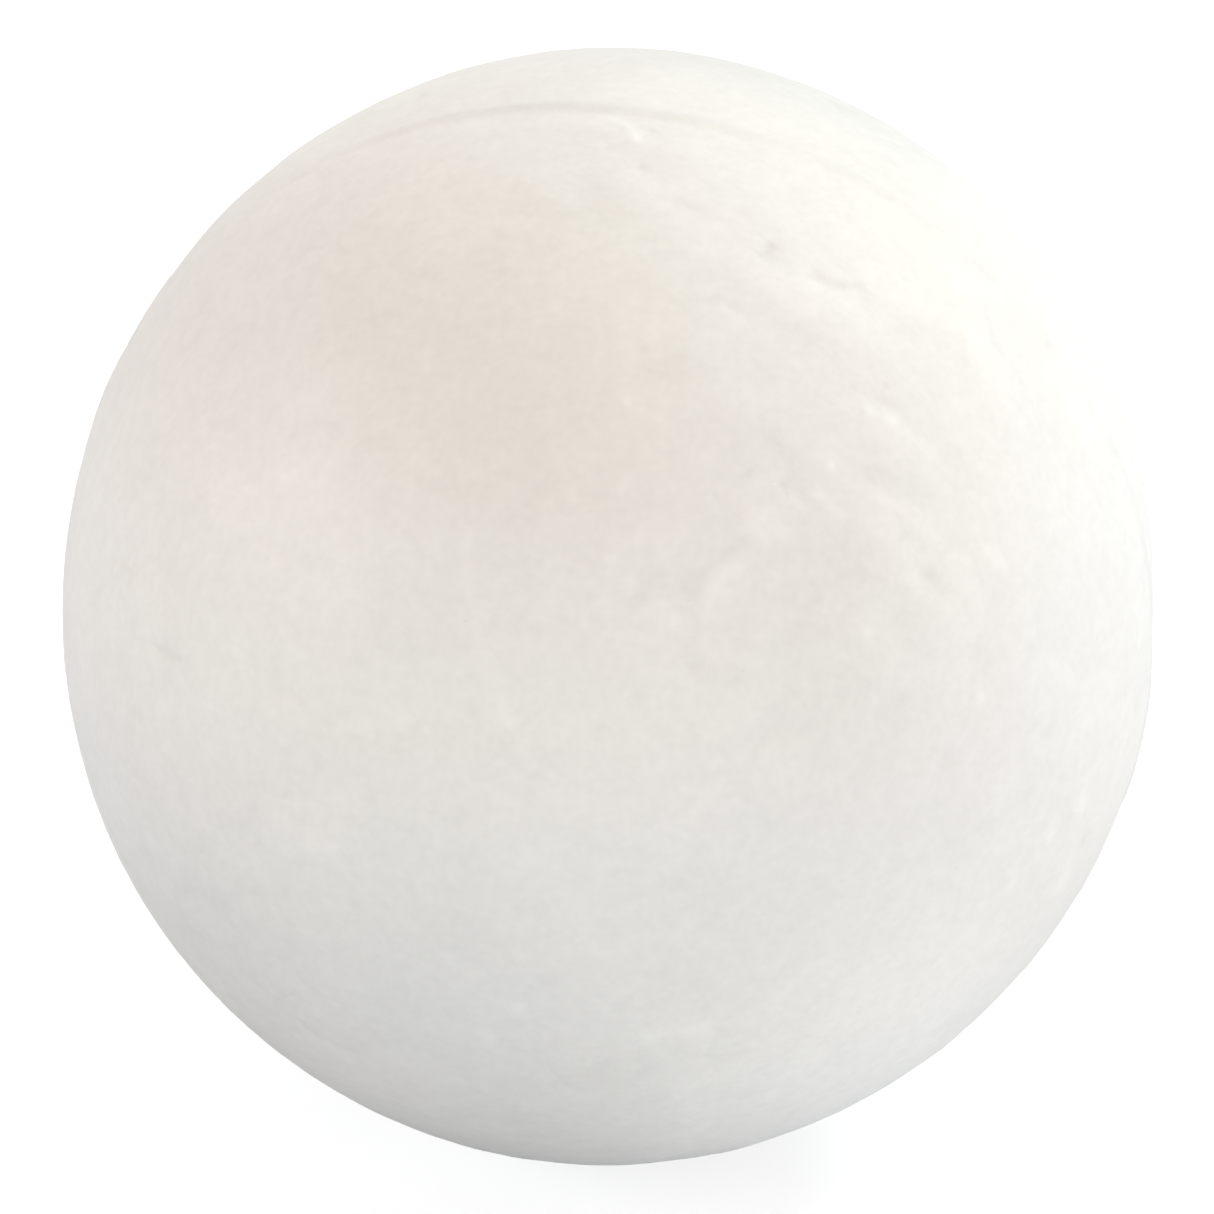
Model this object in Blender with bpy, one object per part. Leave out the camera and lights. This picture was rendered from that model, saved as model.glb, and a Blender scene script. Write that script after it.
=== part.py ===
# Moulded polystyrene ball, one piece.
# Steam swells loose beads in a two-part mould until they fill it and fuse. Each bead
# that meets the wall leaves a flat-faced cell, with a shallow crease where it meets
# the next one, and the joint of the mould leaves a fine ridge round the ball.
# Metres, +Z up. The origin is the middle of the ball. The mould closes along Y, so
# the ridge lies in the XZ plane.

import math
import random

import bmesh
import bpy
from mathutils import Vector

MM = 0.001

# Outer form: slightly out of round, longest along the closing direction
WIDTH = 59.0 * MM             # X
DEPTH = 61.0 * MM             # Y
HEIGHT = 60.0 * MM            # Z

# Pressed patch on one side of the ball
PATCH_DEPTH = 0.22 * MM       # how far its middle lies under the round form
PATCH_REACH = 9.0 * MM        # from its middle to its faint edge, along the surface
PATCH_TURN = math.radians(8)  # its place, turned about Z from +X

# Bead cells
BEAD_PITCH = 4.8 * MM         # middle of one bead to the middle of the next
BEAD_SCATTER = 0.45           # how far beads stray from even spacing, in pitches
SETTLE_PASSES = 2             # rounds of pushing neighbours apart
BEAD_SEED = 7
CREASE_WIDTH = 0.70 * MM
CREASE_DEPTH = 0.15 * MM
BEAD_SINK = 0.05 * MM         # most that one bead's face lies under the next

# Ridge at the joint of the mould
RIDGE_WIDTH = 1.20 * MM
RIDGE_HEIGHT = 0.12 * MM

# Points nearer to a cut than this are drawn onto it, so no thin slivers are left
CUT_SNAP = 0.08 * MM

HEX_AREA = math.sqrt(3) / 2   # area of a six-sided cell whose pitch is 1
GOLDEN_TURN = math.pi * (3 - math.sqrt(5))


def clear_scene():
    for obj in list(bpy.data.objects):
        bpy.data.objects.remove(obj, do_unlink=True)


def white_foam():
    material = bpy.data.materials.new("white_polystyrene")
    material.use_nodes = True
    shader = material.node_tree.nodes["Principled BSDF"]
    shader.inputs["Base Color"].default_value = (0.87, 0.86, 0.83, 1.0)
    shader.inputs["Roughness"].default_value = 0.62
    shader.inputs["Metallic"].default_value = 0.0
    return material


def mean_radius():
    return (WIDTH * DEPTH * HEIGHT) ** (1 / 3) / 2


def patch_sink(direction):
    """How far the pressed patch lowers the surface in this direction."""
    middle = Vector((math.cos(PATCH_TURN), math.sin(PATCH_TURN), 0))
    reach = PATCH_REACH / mean_radius()
    away = direction.angle(middle) / reach
    if away >= 1:
        return 0.0
    return PATCH_DEPTH * math.cos(away * math.pi / 2) ** 2


def skin_point(direction, sink):
    """The point of the outer form in this direction, sunk towards the middle."""
    unit = direction.normalized()
    spread = math.hypot(unit.x / WIDTH, unit.y / DEPTH, unit.z / HEIGHT)
    return unit * (0.5 / spread - patch_sink(unit) - sink)


def scatter_beads(bm, rng):
    """One point for each bead that meets the wall, on a ball of the mean radius."""
    radius = mean_radius()
    count = round(4 * math.pi * radius ** 2 / (HEX_AREA * BEAD_PITCH ** 2))
    for i in range(count):
        up = 1 - 2 * (i + 0.5) / count
        turn = GOLDEN_TURN * i
        ring = math.sqrt(1 - up * up)
        place = Vector((ring * math.cos(turn), ring * math.sin(turn), up)) * radius
        stray = Vector(rng.uniform(-BEAD_SCATTER, BEAD_SCATTER) for axis in range(3))
        bm.verts.new((place + stray * BEAD_PITCH).normalized() * radius)


def settle_beads(bm):
    """Joins the points into a closed skin and evens out the gaps between them."""
    radius = mean_radius()
    bmesh.ops.convex_hull(bm, input=bm.verts)
    for _ in range(SETTLE_PASSES):
        bmesh.ops.smooth_vert(bm, verts=bm.verts, factor=0.5,
                              use_axis_x=True, use_axis_y=True, use_axis_z=True)
        for vert in bm.verts:
            vert.co = vert.co.normalized() * radius


def grow_cells(bm):
    """Turns the skin of bead points into the cells round them, one face a bead."""
    beads = list(bm.verts)
    links = list(bm.edges)
    bmesh.ops.poke(bm, faces=bm.faces)
    bmesh.ops.rotate_edges(bm, edges=links)
    bmesh.ops.dissolve_verts(bm, verts=beads)


def press_beads(bm, rng):
    """Gives each cell its pad on the mould wall and leaves the creases between."""
    corners = list(bm.verts)
    pads = list(bm.faces)
    bmesh.ops.inset_individual(bm, faces=pads, thickness=CREASE_WIDTH / 2,
                               use_even_offset=True)
    sinks = [rng.uniform(0, BEAD_SINK) for pad in pads]
    for pad, sink in zip(pads, sinks):
        for vert in pad.verts:
            vert.co = skin_point(vert.co, sink)
    for vert in corners:
        vert.co = skin_point(vert.co, CREASE_DEPTH)
    middles = bmesh.ops.poke(bm, faces=pads)["verts"]
    for vert, sink in zip(middles, sinks):
        vert.co = skin_point(vert.co, sink)


def raise_ridge(bm):
    """Cuts the feet and the crest of the ridge into the skin and lifts the crest,
    which stays level where it runs over a crease."""
    for place in (-RIDGE_WIDTH / 2, RIDGE_WIDTH / 2, 0):
        bmesh.ops.bisect_plane(bm, geom=bm.verts[:] + bm.edges[:] + bm.faces[:],
                               dist=CUT_SNAP, use_snap_center=True,
                               plane_co=(0, place, 0), plane_no=(0, 1, 0))
    crest = [vert for vert in bm.verts if abs(vert.co.y) < CUT_SNAP / 10]
    for vert in crest:
        vert.co = skin_point(vert.co, -RIDGE_HEIGHT)


def foam_ball(collection):
    rng = random.Random(BEAD_SEED)
    bm = bmesh.new()
    scatter_beads(bm, rng)
    settle_beads(bm)
    grow_cells(bm)
    press_beads(bm, rng)
    raise_ridge(bm)
    bmesh.ops.triangulate(bm, faces=bm.faces)
    bmesh.ops.recalc_face_normals(bm, faces=bm.faces)
    mesh = bpy.data.meshes.new("foam_ball")
    bm.to_mesh(mesh)
    bm.free()
    mesh.shade_smooth()
    mesh.materials.append(white_foam())
    ball = bpy.data.objects.new("foam_ball", mesh)
    collection.objects.link(ball)
    return ball


def main():
    clear_scene()
    collection = bpy.data.collections.new("polystyrene_ball")
    bpy.context.scene.collection.children.link(collection)
    foam_ball(collection)


main()
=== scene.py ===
import math
import random

import bmesh
import bpy
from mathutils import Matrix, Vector, kdtree, noise


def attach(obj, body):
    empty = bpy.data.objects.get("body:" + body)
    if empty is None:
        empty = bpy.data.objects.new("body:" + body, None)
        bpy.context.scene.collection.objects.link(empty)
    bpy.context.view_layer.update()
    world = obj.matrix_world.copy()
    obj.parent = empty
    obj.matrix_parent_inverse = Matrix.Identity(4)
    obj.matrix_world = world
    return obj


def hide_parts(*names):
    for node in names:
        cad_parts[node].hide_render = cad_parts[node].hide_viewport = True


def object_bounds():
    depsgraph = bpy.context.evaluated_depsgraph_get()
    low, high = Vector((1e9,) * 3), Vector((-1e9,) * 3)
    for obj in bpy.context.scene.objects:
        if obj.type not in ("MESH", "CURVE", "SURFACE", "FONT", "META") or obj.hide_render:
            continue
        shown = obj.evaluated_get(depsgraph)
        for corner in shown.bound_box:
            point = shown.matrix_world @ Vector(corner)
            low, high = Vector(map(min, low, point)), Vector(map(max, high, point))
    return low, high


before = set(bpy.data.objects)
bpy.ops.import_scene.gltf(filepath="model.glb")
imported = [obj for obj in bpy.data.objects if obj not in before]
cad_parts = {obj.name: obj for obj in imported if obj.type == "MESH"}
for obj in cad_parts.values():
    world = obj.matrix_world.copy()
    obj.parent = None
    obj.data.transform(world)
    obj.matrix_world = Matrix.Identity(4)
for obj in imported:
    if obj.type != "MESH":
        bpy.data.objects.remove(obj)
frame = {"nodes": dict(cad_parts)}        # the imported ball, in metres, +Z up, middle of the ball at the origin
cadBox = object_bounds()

mm = 0.001
print("frame loaded:", ", ".join(frame["nodes"]))


# Camera, set from the outline and the mould line in the photograph
view = {
    "azimuth": 9.5,          # degrees to the right of straight ahead
    "elevation": 29.8,       # degrees above the floor
    "distance": 455.5 * mm,  # from the middle of the ball
    "lens": 250.0,
    "sensor": 36.0,
    "photoSize": 1214,       # pixels of the photograph, each way
    "ballCentre": (610.2, 605.9),
    "clip": (0.01, 50),      # nearest and farthest that the camera sees, in metres
}


def wayOut(azimuth, elevation):
    # from the middle of the ball, in degrees; azimuth 0 is straight ahead, towards -Y
    turn = math.radians(azimuth)
    tilt = math.radians(elevation)
    return Vector((math.sin(turn) * math.cos(tilt),
                   -math.cos(turn) * math.cos(tilt),
                   math.sin(tilt)))


def cameraAxes():
    back = wayOut(view["azimuth"], view["elevation"])
    turn = math.radians(view["azimuth"])
    right = Vector((math.cos(turn), math.sin(turn), 0))
    return right, back.cross(right), back


def frameStep():
    # how far one photo pixel reaches in a plane one metre from the camera
    return view["sensor"] / view["lens"] / view["photoSize"]


def cameraPlace():
    right, up, back = cameraAxes()
    offset = frameStep() * view["distance"]
    middle = view["photoSize"] / 2
    across = (middle - view["ballCentre"][0]) * offset
    down = (middle - view["ballCentre"][1]) * offset
    return back * view["distance"] + right * across - up * down


def addObject(name, data):
    made = bpy.data.objects.new(name, data)
    bpy.context.scene.collection.objects.link(made)
    return made


def addCamera():
    right, up, back = cameraAxes()
    data = bpy.data.cameras.new("photoCamera")
    data.lens = view["lens"]
    data.sensor_width = view["sensor"]
    data.clip_start, data.clip_end = view["clip"]
    camera = addObject("photoCamera", data)
    camera.location = cameraPlace()
    camera.rotation_euler = back.to_track_quat("Z", "Y").to_euler()
    bpy.context.scene.camera = camera
    print("camera set:", round(view["distance"] / mm), "mm from the middle of the ball")


# Outer form: the same slightly uneven round form as the frame's ball
form = {
    "width": 59.0 * mm,       # X
    "depth": 61.0 * mm,       # Y, the way the mould closes
    "height": 60.0 * mm,      # Z
    "patchDepth": 0.22 * mm,  # the pressed patch on the right side
    "patchReach": 9.0 * mm,
    "patchTurn": 8.0,
    "swell": 0.05 * mm,       # broad unevenness left by shrinking
    "swellSize": 11.0 * mm,
}


def meanRadius():
    return (form["width"] * form["depth"] * form["height"]) ** (1 / 3) / 2


def outerRadius(unit):
    spread = math.sqrt((unit.x / form["width"]) ** 2 + (unit.y / form["depth"]) ** 2
                       + (unit.z / form["height"]) ** 2)
    turn = math.radians(form["patchTurn"])
    facing = unit.x * math.cos(turn) + unit.y * math.sin(turn)
    away = math.acos(max(-1, min(1, facing))) * meanRadius() / form["patchReach"]
    patch = form["patchDepth"] * math.cos(away * math.pi / 2) ** 2 if away < 1 else 0
    swell = noise.noise(unit * (meanRadius() / form["swellSize"])) * form["swell"]
    return 0.5 / spread - patch + swell


def onBall(pixel):
    # the direction of the point on the ball that this pixel of the photograph shows
    right, up, back = cameraAxes()
    middle = view["photoSize"] / 2
    across = (pixel[0] - middle) * frameStep()
    down = (pixel[1] - middle) * frameStep()
    ray = (right * across - up * down - back).normalized()
    start = cameraPlace()
    size = Vector((form["width"], form["depth"], form["height"])) / 2
    scaledRay = Vector(ray[i] / size[i] for i in range(3))
    scaledStart = Vector(start[i] / size[i] for i in range(3))
    a = scaledRay.dot(scaledRay)
    b = scaledRay.dot(scaledStart)
    c = scaledStart.dot(scaledStart) - 1
    reach = (-b - math.sqrt(max(b * b - a * c, 0))) / a
    return (start + ray * reach).normalized()


# Bead cells of the skin
beads = {
    "pitch": 4.3 * mm,
    "scatter": 0.45,         # in pitches
    "settle": 2,             # rounds of evening out the gaps
    "seed": 23,
    "seen": [                # middles of beads that show in the photograph
        (690, 530), (768, 520), (742, 612), (650, 652), (618, 570), (820, 590),
    ],
    "seenRoom": 0.72,        # no other bead starts nearer to these, in pitches
    "rings": [               # step in mm, how much of the crease is left there
        (0.16, 0.84), (0.22, 0.45), (0.34, 0.17),
    ],
    "smallCell": 1.05 * mm,  # half width under which a cell takes half steps
    "waver": 0.22 * mm,      # how far the creases stray from straight lines
    "waverSize": 1.5 * mm,
    "waverSeed": 3,          # without it, noise_vector gives another pattern each run
    "waverStart": (5, 1, 8),  # another start gives another pattern, here and below
    "cuts": 2,               # points added along each stretch of crease
    "sink": 0.020 * mm,      # most that one bead's face lies under the next
    "tilt": 0.020,           # most that one bead's face leans, in radians
    "shade": 0.008,          # most that one bead is lighter or darker, as a share
}


def seenBeads():
    radius = meanRadius()
    return [onBall(pixel) * radius for pixel in beads["seen"]]


def scatterBeads(bm, rng):
    radius = meanRadius()
    seen = seenBeads()
    cellArea = math.sqrt(3) / 2 * beads["pitch"] ** 2
    count = round(4 * math.pi * radius ** 2 / cellArea)
    goldenTurn = math.pi * (3 - math.sqrt(5))
    for i in range(count):
        up = 1 - 2 * (i + 0.5) / count
        ring = math.sqrt(1 - up * up)
        turn = goldenTurn * i
        place = Vector((ring * math.cos(turn), ring * math.sin(turn), up)) * radius
        stray = Vector(rng.uniform(-1, 1) for axis in range(3)) * beads["scatter"] * beads["pitch"]
        place = (place + stray).normalized() * radius
        if min((place - middle).length for middle in seen) > beads["seenRoom"] * beads["pitch"]:
            bm.verts.new(place)
    return [bm.verts.new(middle) for middle in seen]


def growCells(bm, fixed):
    radius = meanRadius()
    bmesh.ops.convex_hull(bm, input=bm.verts)
    places = [vert.co.copy() for vert in fixed]
    for turn in range(beads["settle"]):
        bmesh.ops.smooth_vert(bm, verts=bm.verts, factor=0.5,
                              use_axis_x=True, use_axis_y=True, use_axis_z=True)
        for vert in bm.verts:
            vert.co = vert.co.normalized() * radius
        for vert, place in zip(fixed, places):
            vert.co = place
    middles = list(bm.verts)
    links = list(bm.edges)
    bmesh.ops.poke(bm, faces=bm.faces)
    bmesh.ops.rotate_edges(bm, edges=links)
    bmesh.ops.dissolve_verts(bm, verts=middles)
    for vert in bm.verts:
        vert.co = vert.co.normalized() * radius


def cutCreases(bm, rng):
    # rings of points step in from each cell's border, so the crease has a round section
    crease = bm.verts.layers.float.new("crease")
    lift = bm.verts.layers.float.new("lift")
    shade = bm.verts.layers.float.new("shade")
    ring = bm.verts.layers.int.new("ring")
    for vert in bm.verts:
        vert[crease] = 1
    cells = list(bm.faces)
    faces = [beadFace(cell, rng) for cell in cells]
    for cell, face in zip(cells, faces):
        for vert in cell.verts:
            vert[lift] += faceLift(face, vert.co) / len(vert.link_faces)
            vert[shade] += face["shade"] / len(vert.link_faces)
    wide = [cell for cell in cells if halfWidth(cell) >= beads["smallCell"]]
    narrow = [cell for cell in cells if halfWidth(cell) < beads["smallCell"]]
    for number, (step, left) in enumerate(beads["rings"], start=1):
        bmesh.ops.inset_individual(bm, faces=wide, thickness=step * mm, use_even_offset=True)
        bmesh.ops.inset_individual(bm, faces=narrow, thickness=step * mm / 2, use_even_offset=True)
        for cell, face in zip(cells, faces):
            for vert in cell.verts:
                vert[crease] = left
                vert[lift] = faceLift(face, vert.co)
                vert[shade] = face["shade"]
                vert[ring] = number
    middles = bmesh.ops.poke(bm, faces=cells)["verts"]
    last = len(beads["rings"]) + 1
    for vert, face in zip(middles, faces):
        vert[crease] = 0
        vert[lift] = faceLift(face, vert.co)
        vert[shade] = face["shade"]
        vert[ring] = last
    along = [edge for edge in bm.edges
             if edge.verts[0][ring] == edge.verts[1][ring]
             or last in (edge.verts[0][ring], edge.verts[1][ring])]
    bmesh.ops.subdivide_edges(bm, edges=along, cuts=beads["cuts"], use_grid_fill=True)
    radius = meanRadius()
    noise.seed_set(beads["waverSeed"])
    for vert in bm.verts:
        stray = noise.noise_vector(vert.co / beads["waverSize"] + Vector(beads["waverStart"]))
        vert.co = (vert.co + stray * beads["waver"]).normalized() * radius


def halfWidth(cell):
    middle = cell.calc_center_median()
    return min(((edge.verts[0].co + edge.verts[1].co) / 2 - middle).length for edge in cell.edges)


def beadFace(cell, rng):
    return {
        "middle": cell.calc_center_median(),
        "level": -rng.random() * beads["sink"],
        "lean": Vector(rng.uniform(-1, 1) for axis in range(3)) * beads["tilt"],
        "shade": rng.uniform(-1, 1),
    }


def faceLift(face, place):
    return face["level"] + face["lean"].dot(place - face["middle"])


# How deep the creases between the beads are, and the small unevenness of the skin
skin = {
    "creaseDepth": 0.028 * mm,
    "shade": 0.5,             # painted shade in the creases: share of brightness lost for each mm of crease depth
    "creaseLeast": 0.06,      # share of it left where beads fused well
    "creaseMean": 0.38,
    "creaseSwing": 1.6,       # how far the share strays from that between the patches
    "creaseMost": 3.5,        # before the run along each crease counts
    "creasePatch": 9.0 * mm,  # size of the patches that fused well or less well
    "patchStart": (7, 3, 1),
    "creaseRun": 2.2 * mm,    # length over which one crease opens and closes
    "runMean": 0.8,
    "runSwing": 1.8,
    "runRange": (0.1, 1.5),   # least and most
    "runStart": (2, 5, 9),
    "hiddenMore": 1.1,        # added share on the sides that the photograph doesn't show
    "hiddenStart": 0.08,      # how far behind the outline that begins, in radii
    "hiddenFade": 0.35,       # and over what length it grows
    "openSpots": [            # pixel, reach in mm, added share
        ((712, 570), 4.5, 0.7), ((850, 330), 11.0, -1.0), ((640, 90), 7.0, -1.2),
        ((560, 860), 12.0, -0.5), ((262, 370), 5.0, -0.8), ((575, 1152), 6.0, -1.6),
    ],
    "dents": [                # size, depth
        (4.2 * mm, 0.050 * mm), (1.9 * mm, 0.026 * mm), (0.9 * mm, 0.012 * mm),
    ],
    "dentStart": (4, 2),
    "rippleFrom": (640, 260),  # rows of shallow folds that run this way
    "rippleTo": (950, 640),
    "rippleSize": 2.3 * mm,
    "rippleStretch": 2.6,
    "rippleDepth": 0.100 * mm,
    "rippleLeast": 0.01,       # share under which there is none
    "cobbleSize": 1.4 * mm,    # small round bumps among them
    "cobbleDepth": 0.030 * mm,
    "cobbleStart": (6, 2, 4),
    "rippleSpots": [           # pixel, reach in mm
        ((740, 330), 5.0), ((860, 440), 6.0), ((940, 600), 5.0), ((700, 560), 4.0),
        ((590, 210), 5.0), ((1040, 840), 4.0), ((650, 1060), 4.0),
    ],
}


def creaseShare(unit):
    radius = meanRadius()
    patch = noise.noise(unit * (radius / skin["creasePatch"]) + Vector(skin["patchStart"]))
    share = skin["creaseMean"] + skin["creaseSwing"] * patch + skin["hiddenMore"] * hiddenShare(unit)
    for pixel, reach, more in skin["openSpots"]:
        away = (unit - onBallOnce(pixel)).length * radius / (reach * mm)
        share += more * math.exp(-away * away)
    run = noise.noise(unit * (radius / skin["creaseRun"]) + Vector(skin["runStart"]))
    least, most = skin["runRange"]
    share = min(skin["creaseMost"], max(0, share))
    share *= min(most, max(least, skin["runMean"] + skin["runSwing"] * run))
    return skin["creaseLeast"] + (1 - skin["creaseLeast"]) * share


def hiddenShare(unit):
    # 0 where the photograph shows the ball, 1 well behind its outline
    behind = -unit.dot(cameraAxes()[2])
    return min(1, max(0, behind - skin["hiddenStart"]) / skin["hiddenFade"])


def dentHeight(unit):
    height = 0
    for size, depth in skin["dents"]:
        start = Vector((size / mm, *skin["dentStart"]))
        height += noise.noise(unit * (meanRadius() / size) + start) * depth
    return height + rippleHeight(unit * meanRadius())


def rippleHeight(place):
    share = 0
    for pixel, reach in skin["rippleSpots"]:
        away = (place - onBallOnce(pixel) * meanRadius()).length / (reach * mm)
        share = max(share, math.exp(-away * away))
    if share < skin["rippleLeast"]:
        return 0
    way = (onBallOnce(skin["rippleTo"]) - onBallOnce(skin["rippleFrom"])).normalized()
    squeezed = place - way * place.dot(way) * (1 - 1 / skin["rippleStretch"])
    ripple = noise.noise(squeezed / skin["rippleSize"]) * skin["rippleDepth"]
    cobble = noise.noise(place / skin["cobbleSize"] + Vector(skin["cobbleStart"]))
    return (ripple + cobble * skin["cobbleDepth"]) * share


placesOnBall = {}


def onBallOnce(pixel):
    if pixel not in placesOnBall:
        placesOnBall[pixel] = onBall(pixel)
    return placesOnBall[pixel]


# Ridge at the joint of the mould
ridge = {
    "width": 1.80 * mm,
    "height": 0.12 * mm,
    "cuts": (-0.90, -0.62, -0.38, -0.18, 0.0, 0.18, 0.38, 0.62, 0.90),  # mm from the joint
    "snap": 0.06 * mm,
    "shade": -0.068,         # the line is a little darker than the skin
    "runSize": 5.0 * mm,     # length over which it rises and fades
    "runMean": 0.95,
    "runSwing": 0.6,
    "runStart": (3, 3, 3),
    "faint": [               # pixel, reach in mm, share of the ridge lost there
        ((790, 145), 4.5, 0.60), ((1000, 290), 7.0, 0.75), ((1100, 420), 14.0, 0.60),
        ((300, 178), 5.0, 0.60), ((215, 245), 8.0, 0.85), ((150, 330), 8.0, 0.70),
    ],
}


def cutRidge(bm):
    for place in ridge["cuts"]:
        bmesh.ops.bisect_plane(bm, geom=bm.verts[:] + bm.edges[:] + bm.faces[:],
                               dist=ridge["snap"], use_snap_center=True,
                               plane_co=(0, place * mm, 0), plane_no=(0, 1, 0))


def ridgeShare(place):
    # 1 on the joint, 0 beside the ridge, more or less of it along the way
    away = abs(place.y) / (ridge["width"] / 2)
    if away >= 1:
        return 0
    stray = noise.noise(place / ridge["runSize"] + Vector(ridge["runStart"]))
    run = ridge["runMean"] + ridge["runSwing"] * stray
    for pixel, reach, less in ridge["faint"]:
        distance = (place - onBallOnce(pixel) * meanRadius()).length / (reach * mm)
        run *= 1 - less * math.exp(-distance * distance)
    return run * math.cos(away * math.pi / 2) ** 2


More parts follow.
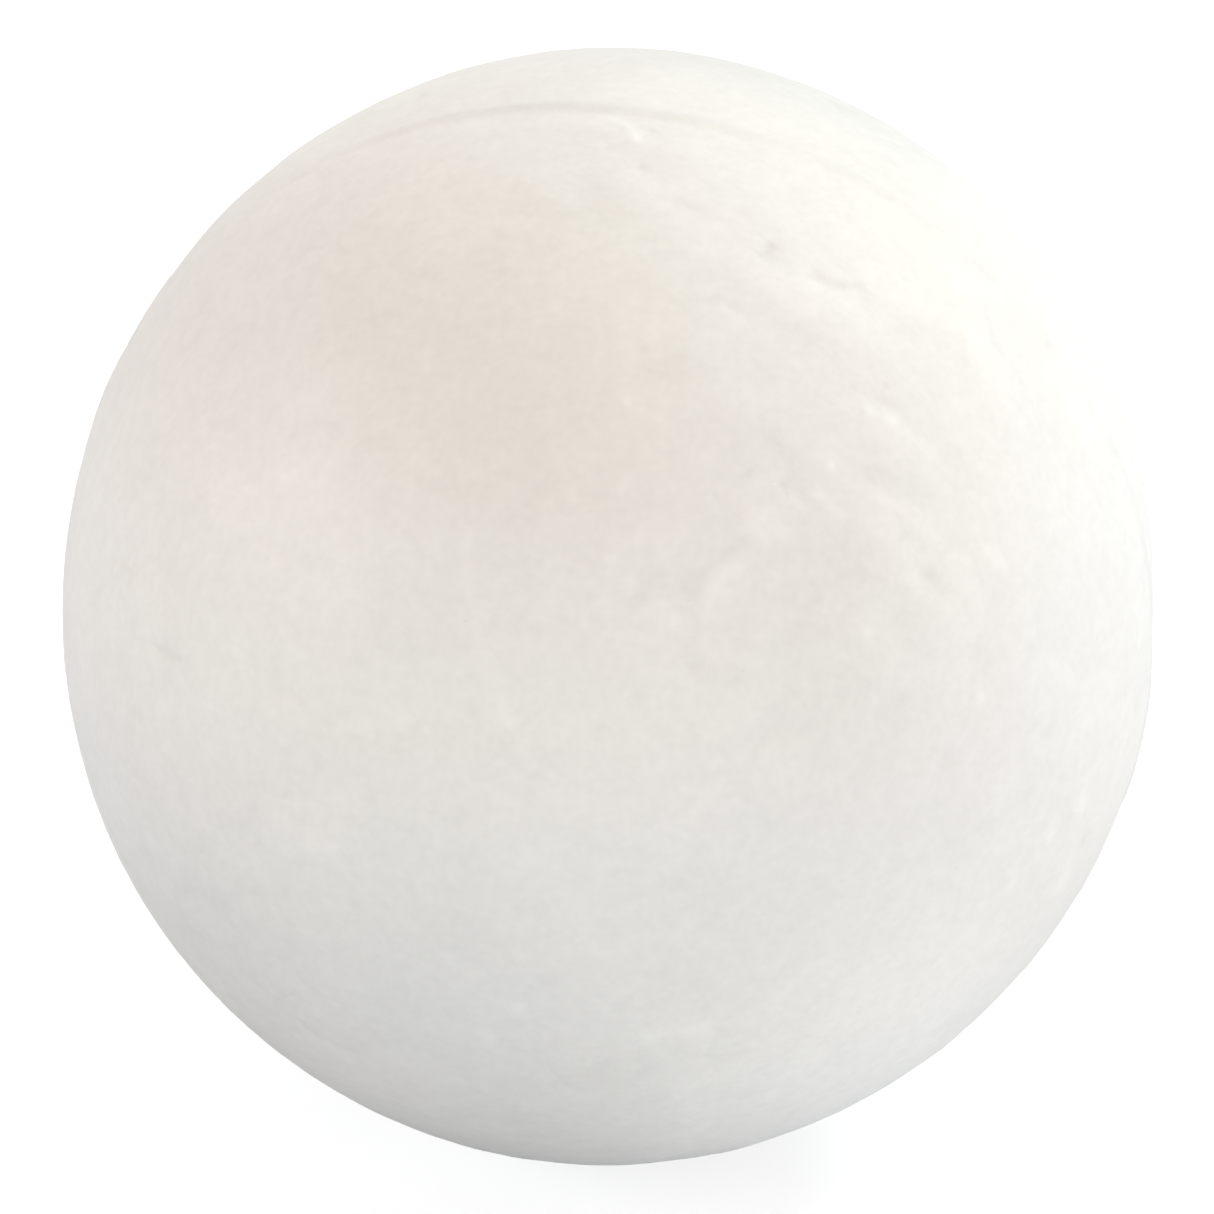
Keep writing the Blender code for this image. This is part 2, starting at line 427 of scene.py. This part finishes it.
# Nibs, pits, open creases and patches that show in the photograph. Each has the pixels that
# it runs through, its height in mm and its half width in mm.
marks = {
    "creases": [
        ([(737, 540), (728, 552)], -0.036, 0.42), ([(702, 573), (688, 588)], -0.034, 0.46),
        ([(799, 625), (815, 600)], -0.025, 0.42), ([(760, 254), (770, 246)], -0.060, 0.32),
        ([(812, 278), (832, 287), (857, 288)], -0.040, 0.42),
        ([(687, 302), (727, 303), (750, 316)], -0.024, 0.50),
        ([(795, 328), (815, 350), (840, 372)], -0.030, 0.60),
        ([(680, 205), (700, 212)], -0.028, 0.50),
        ([(855, 390), (885, 405), (915, 430), (948, 452)], -0.024, 0.55),
        ([(868, 478), (895, 490), (920, 503)], -0.020, 0.60),
        ([(918, 568), (928, 580), (940, 592)], -0.034, 0.45),
        ([(760, 425), (783, 447), (790, 478)], -0.024, 0.60),
        ([(800, 495), (810, 508)], -0.030, 0.40), ([(902, 330), (935, 332)], -0.024, 0.50),
        ([(955, 255), (975, 262), (987, 275)], -0.024, 0.50),
        ([(987, 307), (992, 340), (1000, 352)], -0.028, 0.50),
    ],
    "pits": [
        ([(842, 288)], -0.030, 0.34), ([(733, 310)], -0.025, 0.34), ([(815, 272)], -0.020, 0.34),
        ([(782, 486)], -0.044, 0.29), ([(747, 475)], -0.035, 0.32), ([(640, 168)], -0.040, 0.34),
        ([(650, 132)], -0.040, 0.34), ([(930, 577)], -0.022, 0.36),
        ([(160, 650), (178, 660)], -0.050, 0.32), ([(885, 387)], -0.022, 0.32),
        ([(697, 665)], -0.032, 0.42), ([(735, 680)], -0.032, 0.42), ([(642, 695)], -0.025, 0.42),
        ([(693, 663)], -0.020, 0.50), ([(640, 597)], -0.025, 0.40), ([(770, 563)], -0.025, 0.28),
        ([(1083, 842)], -0.058, 0.50), ([(1067, 820)], -0.035, 0.45), ([(1034, 880)], -0.040, 0.42),
        ([(1049, 733)], -0.030, 0.50), ([(945, 762)], -0.030, 0.50),
    ],
    "nibs": [
        ([(634, 141)], 0.070, 0.40), ([(612, 121), (625, 126), (632, 134)], 0.025, 0.32),
        ([(625, 402)], 0.050, 0.38), ([(829, 467)], 0.062, 0.36), ([(890, 425)], 0.030, 0.48),
        ([(867, 410)], 0.035, 0.40), ([(662, 207)], 0.035, 0.45), ([(508, 262)], 0.040, 0.36),
        ([(555, 308)], 0.035, 0.38),
        ([(736, 568), (722, 574), (711, 590), (707, 604), (708, 618)], 0.040, 0.48),
        ([(706, 640), (714, 652)], 0.028, 0.45),
        ([(750, 515), (752, 530), (765, 538)], 0.028, 0.40),
        ([(818, 497), (840, 515)], 0.034, 0.34),
        ([(885, 415), (900, 428), (915, 440)], 0.018, 0.50),
        ([(853, 486), (875, 498), (895, 508), (912, 525)], 0.022, 0.42),
        ([(985, 552), (1003, 566)], 0.030, 0.45), ([(674, 621)], 0.055, 0.40),
        ([(631, 582)], 0.033, 0.40), ([(600, 602)], 0.028, 0.42), ([(622, 487)], 0.026, 0.36),
        ([(610, 560)], 0.028, 0.42), ([(637, 540)], 0.026, 0.42), ([(660, 603)], 0.028, 0.40),
        ([(777, 580)], 0.028, 0.32), ([(867, 630)], 0.033, 0.42), ([(980, 697)], 0.036, 0.40),
        ([(313, 847), (332, 848)], 0.042, 0.42), ([(398, 723)], 0.026, 0.38),
        ([(300, 710), (340, 722), (405, 728)], 0.014, 0.42),
        ([(465, 542), (472, 587), (485, 656), (507, 724)], 0.018, 0.45),
        ([(503, 713), (523, 743)], 0.020, 0.40), ([(488, 1037)], 0.040, 0.42),
        ([(517, 1007)], 0.034, 0.38), ([(648, 1036), (672, 1030)], 0.034, 0.50),
        ([(688, 1033), (704, 1026)], 0.036, 0.46), ([(770, 1095)], 0.030, 0.42),
        ([(685, 1120)], 0.030, 0.42), ([(997, 790)], 0.038, 0.40),
        ([(1012, 872), (1012, 888)], 0.034, 0.38), ([(293, 997)], 0.028, 0.42),
        ([(307, 933)], 0.025, 0.42),
    ],
    "patches": [
        ([(473, 130)], 0.020, 0.85), ([(541, 122), (598, 124), (630, 138)], 0.020, 0.60),
        ([(690, 245), (661, 211)], 0.018, 1.20),
        ([(770, 285), (835, 305), (870, 345)], 0.026, 1.30),
        ([(885, 420), (930, 447)], 0.022, 0.90), ([(884, 519)], 0.024, 1.20),
        ([(986, 553)], 0.022, 1.00), ([(768, 524)], 0.030, 0.90), ([(724, 590)], 0.030, 0.90),
        ([(668, 542)], 0.016, 0.80), ([(658, 630)], 0.018, 0.90), ([(1080, 803)], 0.058, 0.70),
        ([(1050, 835)], 0.062, 0.70), ([(1060, 885)], 0.062, 0.80), ([(955, 285)], 0.030, 1.00),
        ([(968, 335)], 0.034, 1.10), ([(915, 302)], 0.020, 0.90), ([(342, 371)], 0.014, 1.60),
        ([(228, 494)], 0.022, 1.30), ([(285, 467), (314, 496)], 0.024, 1.00),
        ([(695, 1032)], 0.034, 0.80), ([(645, 1042)], 0.030, 0.80),
        ([(690, 1080), (745, 1072)], 0.020, 1.50), ([(512, 1009)], 0.024, 0.80),
        ([(673, 371)], -0.032, 1.10), ([(770, 440), (790, 470)], -0.034, 1.20),
        ([(870, 475), (905, 490)], -0.026, 1.10), ([(838, 564)], -0.022, 1.60),
        ([(918, 621)], -0.028, 1.10), ([(980, 656)], -0.034, 0.90), ([(895, 713)], -0.024, 1.10),
        ([(969, 838)], -0.020, 1.60), ([(815, 336)], -0.030, 1.00), ([(770, 250)], -0.022, 0.80),
        ([(600, 390), (690, 420)], -0.012, 1.80), ([(439, 485)], -0.018, 0.70),
        ([(251, 815)], -0.018, 1.00), ([(600, 1075)], -0.026, 1.40), ([(520, 1088)], -0.020, 1.60),
    ],
    "shade": 1.0,             # painted light and shade: share of brightness for each mm of height, so raised marks are painted lighter and hollows darker
    "hiddenCount": 70,        # soft bumps and hollows on the sides that the photograph hides
    "hiddenHeights": (-0.040, 0.045),  # mm
    "hiddenReaches": (0.65, 1.50),     # half widths in mm
    "hiddenFrom": 0.5,        # how well hidden a place has to be, from 0 to 1
    "hiddenSeed": 5,
    "pointStep": 0.12 * mm,   # along each mark
    "edge": 0.14 * mm,        # longest edge of the skin inside a narrow mark
    "around": 1.9,            # how far from its middle the skin is made finer, in half widths
    "finest": 0.75 * mm,      # but no farther than this
    "rounds": 5,
    "narrow": 0.62 * mm,      # marks wider than this need no finer skin
    "farthest": 2.2 * mm,     # a mark is felt no farther than this from its middle
}


def markPoints():
    # each mark as a row of points on the round skin, with the mark's height and half width
    radius = meanRadius()
    points = []
    number = 0
    for group in ("creases", "pits", "nibs", "patches"):
        for pixels, height, reach in marks[group]:
            corners = [onBallOnce(pixel) * radius for pixel in pixels]
            row = [corners[0]]
            for start, end in zip(corners, corners[1:]):
                steps = max(1, round((end - start).length / marks["pointStep"]))
                row += [start.lerp(end, (step + 1) / steps) for step in range(steps)]
            points += [(place, number, height * mm, reach * mm) for place in row]
            number += 1
    rng = random.Random(marks["hiddenSeed"])
    last = number + marks["hiddenCount"]
    while number < last:
        unit = Vector(rng.gauss(0, 1) for axis in range(3)).normalized()
        height = rng.uniform(*marks["hiddenHeights"]) * mm
        reach = rng.uniform(*marks["hiddenReaches"]) * mm
        if hiddenShare(unit) > marks["hiddenFrom"]:
            points.append((unit * radius, number, height, reach))
            number += 1
    return points


def markTree(points):
    tree = kdtree.KDTree(len(points))
    for index, point in enumerate(points):
        tree.insert(point[0], index)
    tree.balance()
    return tree


def refineMarks(bm, points):
    # finer points where a nib, a pit or an open crease will be
    points = [point for point in points if point[3] < marks["narrow"]]
    tree = markTree(points)
    for turn in range(marks["rounds"]):
        longEdges = []
        for edge in bm.edges:
            if edge.calc_length() > marks["edge"]:
                place, index, away = tree.find((edge.verts[0].co + edge.verts[1].co) / 2)
                if away < min(points[index][3] * marks["around"], marks["finest"]):
                    longEdges.append(edge)
        if not longEdges:
            return
        faces = {face for edge in longEdges for face in edge.link_faces}
        bmesh.ops.triangulate(bm, faces=[face for face in faces if len(face.verts) > 4])
        longEdges = [edge for edge in longEdges if edge.is_valid]
        bmesh.ops.subdivide_edges(bm, edges=longEdges, cuts=1, use_grid_fill=True)
        print("marks refined:", len(longEdges), "edges")


def markHeight(place, points, tree):
    nearest = {}
    for spot, index, away in tree.find_range(place, marks["farthest"]):
        number = points[index][1]
        if number not in nearest or away < nearest[number][0]:
            nearest[number] = (away, index)
    height = 0
    for away, index in nearest.values():
        height += points[index][2] * math.exp(-(away / points[index][3]) ** 2)
    return height


def layOnForm(bm, points, tree):
    crease = bm.verts.layers.float["crease"]
    lift = bm.verts.layers.float["lift"]
    shade = bm.verts.layers.float["shade"]
    for vert in bm.verts:
        unit = vert.co.normalized()
        share = creaseShare(unit)
        depth = skin["creaseDepth"] * share * vert[crease]
        height = markHeight(unit * meanRadius(), points, tree)
        joint = ridgeShare(vert.co)
        radius = outerRadius(unit) + dentHeight(unit) + vert[lift] * min(1, share)
        vert.co = unit * (radius - depth + height + ridge["height"] * joint)
        # colour: each bead's random tone, painted shade that deepens with the open creases, marks painted
        # lighter where raised and darker where sunk as painted highlight and painted shade, and the mould line a
        # little darker
        vert[shade] = (beads["shade"] * vert[shade] - skin["shade"] * depth / mm
                       + marks["shade"] * height / mm + ridge["shade"] * joint)


def foamBall():
    rng = random.Random(beads["seed"])
    bm = bmesh.new()
    fixed = scatterBeads(bm, rng)
    growCells(bm, fixed)
    print("bead cells:", len(bm.faces))
    cutCreases(bm, rng)
    cutRidge(bm)
    points = markPoints()
    refineMarks(bm, points)
    layOnForm(bm, points, markTree(points))
    bmesh.ops.recalc_face_normals(bm, faces=bm.faces)
    mesh = bpy.data.meshes.new("foamBallSkin")
    bm.to_mesh(mesh)
    bm.free()
    mesh.shade_smooth()
    ball = addObject("foamBallSkin", mesh)
    mesh.calc_loop_triangles()
    print("ball skin:", len(mesh.loop_triangles), "triangles")
    return ball


# White foam
foam = {
    "colour": (0.90, 0.893, 0.88, 1),
    "roughness": 0.62,
    "shine": 0.35,
    "film": 0.06,             # smooth skin that the mould leaves on the beads
    "filmRoughness": 0.40,
    "mottle": 0.062,          # how far the fine mottling lightens and darkens the colour
    "clouds": 0.036,          # the same for wider, softer patches
    "cloudSize": 2.6 * mm,
    "grainDepth": 0.010 * mm,
    "grainSizes": (0.9 * mm, 0.42 * mm),
}


def addNode(tree, kind, **values):
    node = tree.nodes.new("ShaderNode" + kind)
    for name, value in values.items():
        node.inputs[name].default_value = value
    return node


def mathNode(tree, operation, first, second):
    node = tree.nodes.new("ShaderNodeMath")
    node.operation = operation
    for socket, value in zip(node.inputs, (first, second)):
        if isinstance(value, (int, float)):
            socket.default_value = value
        else:
            tree.links.new(value, socket)
    return node.outputs[0]


def foamFinish():
    material = bpy.data.materials.new("whiteFoam")
    material.use_nodes = True
    tree = material.node_tree
    shader = tree.nodes["Principled BSDF"]
    shader.inputs["Roughness"].default_value = foam["roughness"]
    shader.inputs["Specular IOR Level"].default_value = foam["shine"]
    shader.inputs["Coat Weight"].default_value = foam["film"]
    shader.inputs["Coat Roughness"].default_value = foam["filmRoughness"]
    place = tree.nodes.new("ShaderNodeTexCoord").outputs["Object"]

    coarse = addNode(tree, "TexNoise", Scale=1 / foam["grainSizes"][0], Detail=1)
    fine = addNode(tree, "TexNoise", Scale=1 / foam["grainSizes"][1], Detail=1)
    cloud = addNode(tree, "TexNoise", Scale=1 / foam["cloudSize"], Detail=1)
    for grain in (coarse, fine, cloud):
        tree.links.new(place, grain.inputs["Vector"])
    grainSum = mathNode(tree, "ADD", coarse.outputs["Fac"], fine.outputs["Fac"])

    # the attribute holds each bead's random tone together with painted shade in creases and hollows and painted
    # highlights on raised marks
    shade = tree.nodes.new("ShaderNodeAttribute")
    shade.attribute_name = "shade"
    mottled = mathNode(tree, "MULTIPLY", mathNode(tree, "SUBTRACT", grainSum, 1), foam["mottle"])
    clouded = mathNode(tree, "SUBTRACT", cloud.outputs["Fac"], 0.5)
    clouded = mathNode(tree, "MULTIPLY", clouded, foam["clouds"])
    level = mathNode(tree, "ADD", mathNode(tree, "ADD", mottled, clouded), 1)
    level = mathNode(tree, "ADD", level, shade.outputs["Fac"])
    colour = tree.nodes.new("ShaderNodeVectorMath")
    colour.operation = "SCALE"
    colour.inputs[0].default_value = foam["colour"][:3]
    tree.links.new(level, colour.inputs["Scale"])
    tree.links.new(colour.outputs[0], shader.inputs["Base Color"])

    bump = addNode(tree, "Bump", Strength=1, Distance=foam["grainDepth"])
    tree.links.new(grainSum, bump.inputs["Height"])
    tree.links.new(bump.outputs[0], shader.inputs["Normal"])
    tree.links.new(bump.outputs[0], shader.inputs["Coat Normal"])
    return material


# Floor and white surroundings
studio = {
    "floorSize": 1.2,
    "floorBounce": (0.62, 0.66, 0.70, 1),   # what the ball gets back from the floor
    "floorShown": (0.42, 0.42, 0.42, 1),    # lit share of the white that the camera sees
    "floorGlow": 0.74,                      # the rest of that white
    "fillColour": (0.072, 0.070, 0.068, 1),
}


def addFloor():
    bm = bmesh.new()
    bmesh.ops.create_grid(bm, x_segments=1, y_segments=1, size=studio["floorSize"] / 2)
    bmesh.ops.translate(bm, verts=bm.verts, vec=(0, 0, cadBox[0][2]))
    mesh = bpy.data.meshes.new("paleFloor")
    bm.to_mesh(mesh)
    bm.free()
    floor = addObject("paleFloor", mesh)
    mesh.materials.append(floorFinish())


def splitRays(tree, seen, others, output):
    # the camera gets one shader, and every other ray gets the other
    path = tree.nodes.new("ShaderNodeLightPath")
    pick = tree.nodes.new("ShaderNodeMixShader")
    tree.links.new(path.outputs["Is Camera Ray"], pick.inputs[0])
    tree.links.new(others.outputs[0], pick.inputs[1])
    tree.links.new(seen.outputs[0], pick.inputs[2])
    tree.links.new(pick.outputs[0], tree.nodes[output].inputs["Surface"])


def floorFinish():
    # the camera sees a white floor that keeps the ball's shadow
    material = bpy.data.materials.new("paleFloor")
    material.use_nodes = True
    tree = material.node_tree
    tree.nodes.remove(tree.nodes["Principled BSDF"])
    bounce = tree.nodes.new("ShaderNodeBsdfDiffuse")
    bounce.inputs["Color"].default_value = studio["floorBounce"]
    shown = tree.nodes.new("ShaderNodeBsdfDiffuse")
    shown.inputs["Color"].default_value = studio["floorShown"]
    glow = tree.nodes.new("ShaderNodeEmission")
    glow.inputs["Strength"].default_value = studio["floorGlow"]
    both = tree.nodes.new("ShaderNodeAddShader")
    tree.links.new(shown.outputs[0], both.inputs[0])
    tree.links.new(glow.outputs[0], both.inputs[1])
    splitRays(tree, both, bounce, "Material Output")
    return material


def addWorld():
    world = bpy.data.worlds.new("whiteRoom")
    bpy.context.scene.world = world
    world.use_nodes = True
    tree = world.node_tree
    seen = tree.nodes["Background"]
    seen.inputs["Color"].default_value = (1, 1, 1, 1)
    seen.inputs["Strength"].default_value = 1
    fill = tree.nodes.new("ShaderNodeBackground")
    fill.inputs["Color"].default_value = studio["fillColour"]
    fill.inputs["Strength"].default_value = 1
    splitRays(tree, seen, fill, "World Output")


# Soft round lamps that face the ball
lamps = {
    "distance": 0.9,
    "size": 0.34,
    "places": {             # elevation and azimuth in degrees, watts, colour
        "backRight": (38, 144, 4.96, (0.92, 1.00, 1.00)),
        "back": (24, 180, 1.45, (0.90, 0.94, 1.00)),
        "backLeft": (24, 240, 1.12, (0.90, 0.87, 1.00)),
        "frontLeft": (24, 300, 3.51, (1.00, 0.99, 0.99)),
        "highLeft": (72, 300, 1.89, (1.00, 0.76, 0.46)),
        "frontRight": (12, 40, 2.63, (0.98, 1.00, 0.99)),
        "lowRight": (2, 80, 3.29, (1.00, 0.89, 0.84)),
    },
}


def addLamps():
    for name, (elevation, azimuth, watts, colour) in lamps["places"].items():
        way = wayOut(azimuth, elevation)
        data = bpy.data.lights.new(name, "AREA")
        data.shape = "DISK"
        data.size = lamps["size"]
        data.energy = watts
        data.color = colour
        lamp = addObject(name, data)
        lamp.location = way * lamps["distance"]
        lamp.rotation_euler = way.to_track_quat("Z", "Y").to_euler()
        lamp.visible_camera = False


bpy.context.scene.view_settings.view_transform = "Standard"
addCamera()
ball = foamBall()
ball.data.materials.append(foamFinish())
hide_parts("foam_ball")
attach(ball, "root")
addFloor()
addWorld()
addLamps()
print("floor, white room and", len(lamps["places"]), "lamps set")
